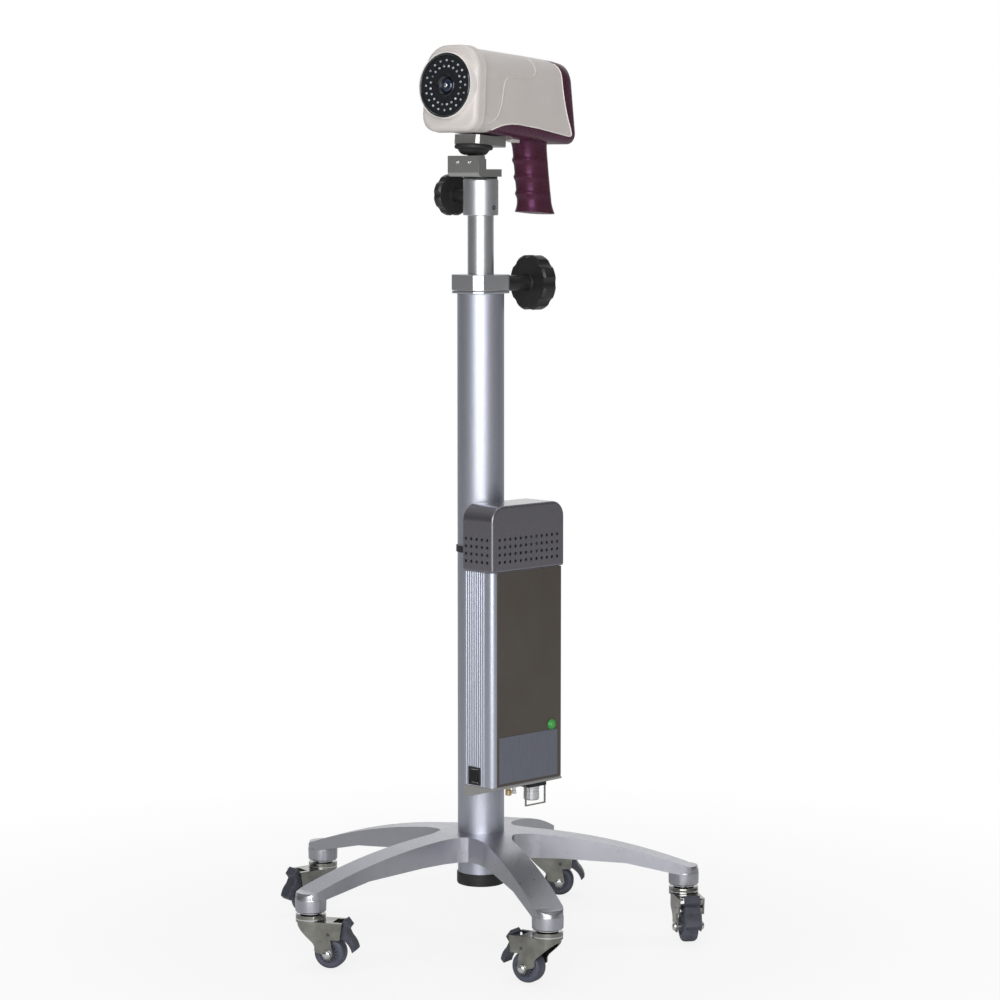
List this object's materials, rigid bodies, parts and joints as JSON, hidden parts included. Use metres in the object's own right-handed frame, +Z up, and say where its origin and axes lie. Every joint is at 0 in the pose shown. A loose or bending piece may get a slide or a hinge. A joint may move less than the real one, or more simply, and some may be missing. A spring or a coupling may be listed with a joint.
{
  "type": "video colposcope",
  "caption": "Video colposcope: pistol-grip camera head with a lamp-ringed lens, on a telescopic column with a control box and a castored star base.",
  "frame": {"origin": "on the floor, on the axis of the column", "axes": "+Z up along the column; +X to the right of the stand as seen from the front; +Y towards its back"},
  "size_m": [0.5586, 0.5403, 1.1494],
  "materials": {
    "cast_base": "satin",
    "column_silver": "satin",
    "case_silver": "satin",
    "panel_grey": "satin",
    "mast_chrome": "polished",
    "steel": "brushed",
    "black_plastic": "matte",
    "black_metal": "satin",
    "cream_shell": "satin",
    "maroon_shell": "satin",
    "lens_black": "satin",
    "lamp_board": "matte",
    "lens_glass": "polished",
    "bush_nylon": "matte",
    "tread_rubber": "matte",
    "brake_grey": "matte",
    "brass": "satin",
    "circuit": "matte"
  },
  "bodies": {
    "stand": {"star_base": "cast_base", "hub_cap": "black_plastic", "outer_column": "column_silver", "column_bush": "bush_nylon", "clamp_collar": "steel", "caster_stems": "steel", "case_body": "case_silver", "front_panel": "panel_grey", "vent_cap": "panel_grey", "bottom_cap": "case_silver", "case_strap": "black_metal", "case_rail": "case_silver", "power_board": "circuit", "switch_bezel": "black_plastic", "mains_inlet": "black_plastic", "camera_socket": "steel", "ground_post": "brass"},
    "power_rocker": {"switch_rocker": "black_plastic"},
    "retaining_bail": {"cord_bail": "steel"},
    "height_clamp": {"height_knob": "black_plastic"},
    "mast": {"inner_column": "mast_chrome", "guide_piston": "bush_nylon", "upper_collar": "steel"},
    "pan_clamp": {"pan_knob": "black_plastic"},
    "pan_bracket": {"pan_spigot": "steel", "column_washer": "black_plastic", "angle_bracket": "steel", "bracket_screws": "black_metal", "tilt_block": "steel"},
    "camera_head": {"tilt_pedestal": "steel", "tilt_disc": "black_plastic", "quick_plate": "steel", "front_housing": "cream_shell", "rear_housing": "maroon_shell", "lens_bezel": "lens_black", "led_board": "lamp_board", "lens_barrel": "lens_glass", "camera_module": "black_metal"},
    "trigger_button": {"trigger": "maroon_shell"},
    "castor_1": {"caster_fork_1": "steel", "caster_axle_1": "steel"},
    "wheel_1": {"caster_wheel_1": "tread_rubber"},
    "brake_1": {"caster_pedal_1": "brake_grey"},
    "castor_2": {"caster_fork_2": "steel", "caster_axle_2": "steel"},
    "wheel_2": {"caster_wheel_2": "tread_rubber"},
    "brake_2": {"caster_pedal_2": "brake_grey"},
    "castor_3": {"caster_fork_3": "steel", "caster_axle_3": "steel"},
    "wheel_3": {"caster_wheel_3": "tread_rubber"},
    "brake_3": {"caster_pedal_3": "brake_grey"},
    "castor_4": {"caster_fork_4": "steel", "caster_axle_4": "steel"},
    "wheel_4": {"caster_wheel_4": "tread_rubber"},
    "brake_4": {"caster_pedal_4": "brake_grey"},
    "castor_5": {"caster_fork_5": "steel", "caster_axle_5": "steel"},
    "wheel_5": {"caster_wheel_5": "tread_rubber"},
    "brake_5": {"caster_pedal_5": "brake_grey"}
  },
  "joints": [
    {"name": "column_slide", "type": "slide", "parent": "stand", "child": "mast", "axis": [0, 0, 1], "range_m": [-0.04, 0.28]},
    {"name": "height_knob_turn", "type": "hinge", "parent": "stand", "child": "height_clamp", "pos_m": [0, 0, 0.849], "axis": [0.766, 0.6428, 0], "range_deg": [0, 360]},
    {"name": "pan_knob_turn", "type": "hinge", "parent": "mast", "child": "pan_clamp", "pos_m": [0, 0, 0.962], "axis": [-0.6157, 0.788, 0], "range_deg": [0, 360]},
    {"name": "head_pan", "type": "hinge", "parent": "mast", "child": "pan_bracket", "pos_m": [0, 0, 0.985], "axis": [0, 0, 1], "range_deg": [-180, 180]},
    {"name": "head_tilt", "type": "hinge", "parent": "pan_bracket", "child": "camera_head", "pos_m": [-0.00975, -0.01256, 1.0031], "axis": [-0.7902, 0.6129, 0], "range_deg": [-6, 20]},
    {"name": "trigger_press", "type": "slide", "parent": "camera_head", "child": "trigger_button", "axis": [0.611, 0.7877, -0.0785], "range_m": [0, 0.0025], "stiffness_N_per_m": 1200},
    {"name": "power_switch", "type": "hinge", "parent": "stand", "child": "power_rocker", "pos_m": [-0.0046, -0.07813, 0.2276], "axis": [-0.7071, 0.7071, 0], "range_deg": [-8, 8]},
    {"name": "bail_swing", "type": "hinge", "parent": "stand", "child": "retaining_bail", "pos_m": [0.07, -0.01909, 0.2042], "axis": [0.7071, 0.7071, 0], "range_deg": [-55, 25]},
    {"name": "castor_swivel_1", "type": "hinge", "parent": "stand", "child": "castor_1", "pos_m": [-0.21318, 0.15488, 0.064], "axis": [0, 0, 1], "continuous": true},
    {"name": "wheel_roll_1", "type": "hinge", "parent": "castor_1", "child": "wheel_1", "pos_m": [-0.2347, 0.13925, 0.02], "axis": [0.5878, -0.809, 0], "continuous": true},
    {"name": "brake_press_1", "type": "hinge", "parent": "castor_1", "child": "brake_1", "pos_m": [-0.23583, 0.13842, 0.0452], "axis": [0.5878, -0.809, 0], "range_deg": [-4, 6]},
    {"name": "castor_swivel_2", "type": "hinge", "parent": "stand", "child": "castor_2", "pos_m": [-0.21318, -0.15488, 0.064], "axis": [0, 0, 1], "continuous": true},
    {"name": "wheel_roll_2", "type": "hinge", "parent": "castor_2", "child": "wheel_2", "pos_m": [-0.18761, -0.16221, 0.02], "axis": [0.2756, 0.9613, 0], "continuous": true},
    {"name": "brake_press_2", "type": "hinge", "parent": "castor_2", "child": "brake_2", "pos_m": [-0.18626, -0.1626, 0.0452], "axis": [0.2756, 0.9613, 0], "range_deg": [-4, 6]},
    {"name": "castor_swivel_3", "type": "hinge", "parent": "stand", "child": "castor_3", "pos_m": [0.08143, -0.2506, 0.064], "axis": [0, 0, 1], "continuous": true},
    {"name": "wheel_roll_3", "type": "hinge", "parent": "castor_3", "child": "wheel_3", "pos_m": [0.05887, -0.23651, 0.02], "axis": [-0.5299, -0.848, 0], "continuous": true},
    {"name": "brake_press_3", "type": "hinge", "parent": "castor_3", "child": "brake_3", "pos_m": [0.05768, -0.23577, 0.0452], "axis": [-0.5299, -0.848, 0], "range_deg": [-4, 6]},
    {"name": "castor_swivel_4", "type": "hinge", "parent": "stand", "child": "castor_4", "pos_m": [0.2635, 0, 0.064], "axis": [0, 0, 1], "continuous": true},
    {"name": "wheel_roll_4", "type": "hinge", "parent": "castor_4", "child": "wheel_4", "pos_m": [0.26812, -0.0262, 0.02], "axis": [0.9848, 0.1736, 0], "continuous": true},
    {"name": "brake_press_4", "type": "hinge", "parent": "castor_4", "child": "brake_4", "pos_m": [0.26836, -0.02757, 0.0452], "axis": [0.9848, 0.1736, 0], "range_deg": [-4, 6]},
    {"name": "castor_swivel_5", "type": "hinge", "parent": "stand", "child": "castor_5", "pos_m": [0.08143, 0.2506, 0.064], "axis": [0, 0, 1], "continuous": true},
    {"name": "wheel_roll_5", "type": "hinge", "parent": "castor_5", "child": "wheel_5", "pos_m": [0.10799, 0.24921, 0.02], "axis": [0.0523, 0.9986, 0], "continuous": true},
    {"name": "brake_press_5", "type": "hinge", "parent": "castor_5", "child": "brake_5", "pos_m": [0.10939, 0.24914, 0.0452], "axis": [0.0523, 0.9986, 0], "range_deg": [-4, 6]}
  ]
}
